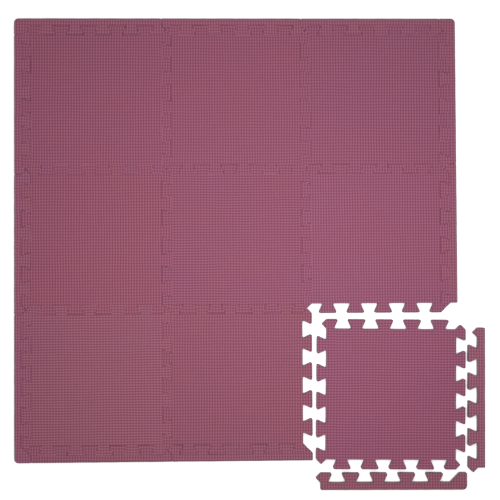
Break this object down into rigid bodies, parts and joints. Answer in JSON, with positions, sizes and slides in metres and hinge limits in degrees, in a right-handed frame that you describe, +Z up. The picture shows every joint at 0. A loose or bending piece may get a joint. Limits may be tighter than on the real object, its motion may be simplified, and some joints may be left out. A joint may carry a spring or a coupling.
{
  "type": "interlocking foam floor mat",
  "caption": "Square floor mat of interlocking foam tiles with dovetail teeth and clip-on edging strips; one corner tile and two strips lie apart.",
  "frame": {"origin": "centre of the centre tile's underside, on the floor", "axes": "+Z up out of the mat; +Y towards the mat's north side, the top of the picture; +X east, the picture's right"},
  "size_m": [1.0261, 1.0333, 0.012],
  "materials": {
    "tile_foam": "matte closed-cell foam with a fine embossed weave",
    "edging_foam": "matte closed-cell foam with a fine embossed weave"
  },
  "bodies": {
    "tile_north_west": {"tile_north_west": "tile_foam"},
    "tile_north": {"tile_north": "tile_foam"},
    "tile_north_east": {"tile_north_east": "tile_foam"},
    "tile_west": {"tile_west": "tile_foam"},
    "tile_centre": {"tile_centre": "tile_foam"},
    "tile_east": {"tile_east": "tile_foam"},
    "tile_south_west": {"tile_south_west": "tile_foam"},
    "tile_south": {"tile_south": "tile_foam"},
    "tile_south_east": {"tile_south_east": "tile_foam"},
    "edging_south_west_end": {"edging_south_west_end": "edging_foam"},
    "edging_south_middle": {"edging_south_middle": "edging_foam"},
    "corner_edging_south_east": {"corner_edging_south_east": "edging_foam"},
    "edging_east_south_end": {"edging_east_south_end": "edging_foam"},
    "edging_east_middle": {"edging_east_middle": "edging_foam"},
    "corner_edging_north_east": {"corner_edging_north_east": "edging_foam"},
    "edging_north_east_end": {"edging_north_east_end": "edging_foam"},
    "edging_north_middle": {"edging_north_middle": "edging_foam"},
    "corner_edging_north_west": {"corner_edging_north_west": "edging_foam"},
    "edging_west_north_end": {"edging_west_north_end": "edging_foam"},
    "edging_west_middle": {"edging_west_middle": "edging_foam"},
    "corner_edging_south_west": {"corner_edging_south_west": "edging_foam"}
  },
  "joints": [
    {"name": "lift_tile_north_west", "type": "slide", "parent": "tile_centre", "child": "tile_north_west", "axis": [0, 0, 1], "range_m": [0, 0.05]},
    {"name": "lift_tile_north", "type": "slide", "parent": "tile_centre", "child": "tile_north", "axis": [0, 0, 1], "range_m": [0, 0.05]},
    {"name": "lift_tile_north_east", "type": "slide", "parent": "tile_centre", "child": "tile_north_east", "axis": [0, 0, 1], "range_m": [0, 0.05]},
    {"name": "lift_tile_west", "type": "slide", "parent": "tile_centre", "child": "tile_west", "axis": [0, 0, 1], "range_m": [0, 0.05]},
    {"name": "lift_tile_east", "type": "slide", "parent": "tile_centre", "child": "tile_east", "axis": [0, 0, 1], "range_m": [0, 0.05]},
    {"name": "lift_tile_south_west", "type": "slide", "parent": "tile_centre", "child": "tile_south_west", "axis": [0, 0, 1], "range_m": [0, 0.05]},
    {"name": "lift_tile_south", "type": "slide", "parent": "tile_centre", "child": "tile_south", "axis": [0, 0, 1], "range_m": [0, 0.05]},
    {"name": "carry_tile_south_east", "type": "slide", "parent": "tile_centre", "child": "tile_south_east", "axis": [-0.3816, 0.4535, 0.8054], "range_m": [0, 0.0807]},
    {"name": "lift_edging_south_west_end", "type": "slide", "parent": "tile_south_west", "child": "edging_south_west_end", "axis": [0, 0, 1], "range_m": [0, 0.05]},
    {"name": "lift_edging_south_middle", "type": "slide", "parent": "tile_south", "child": "edging_south_middle", "axis": [0, 0, 1], "range_m": [0, 0.05]},
    {"name": "lift_corner_edging_south_east", "type": "slide", "parent": "tile_centre", "child": "corner_edging_south_east", "axis": [0, 0, 1], "range_m": [0, 0.05]},
    {"name": "lift_edging_east_south_end", "type": "slide", "parent": "tile_centre", "child": "edging_east_south_end", "axis": [0, 0, 1], "range_m": [0, 0.05]},
    {"name": "lift_edging_east_middle", "type": "slide", "parent": "tile_east", "child": "edging_east_middle", "axis": [0, 0, 1], "range_m": [0, 0.05]},
    {"name": "lift_corner_edging_north_east", "type": "slide", "parent": "tile_north_east", "child": "corner_edging_north_east", "axis": [0, 0, 1], "range_m": [0, 0.05]},
    {"name": "lift_edging_north_east_end", "type": "slide", "parent": "tile_north_east", "child": "edging_north_east_end", "axis": [0, 0, 1], "range_m": [0, 0.05]},
    {"name": "lift_edging_north_middle", "type": "slide", "parent": "tile_north", "child": "edging_north_middle", "axis": [0, 0, 1], "range_m": [0, 0.05]},
    {"name": "lift_corner_edging_north_west", "type": "slide", "parent": "tile_north_west", "child": "corner_edging_north_west", "axis": [0, 0, 1], "range_m": [0, 0.05]},
    {"name": "lift_edging_west_north_end", "type": "slide", "parent": "tile_north_west", "child": "edging_west_north_end", "axis": [0, 0, 1], "range_m": [0, 0.05]},
    {"name": "lift_edging_west_middle", "type": "slide", "parent": "tile_west", "child": "edging_west_middle", "axis": [0, 0, 1], "range_m": [0, 0.05]},
    {"name": "lift_corner_edging_south_west", "type": "slide", "parent": "tile_south_west", "child": "corner_edging_south_west", "axis": [0, 0, 1], "range_m": [0, 0.05]}
  ]
}
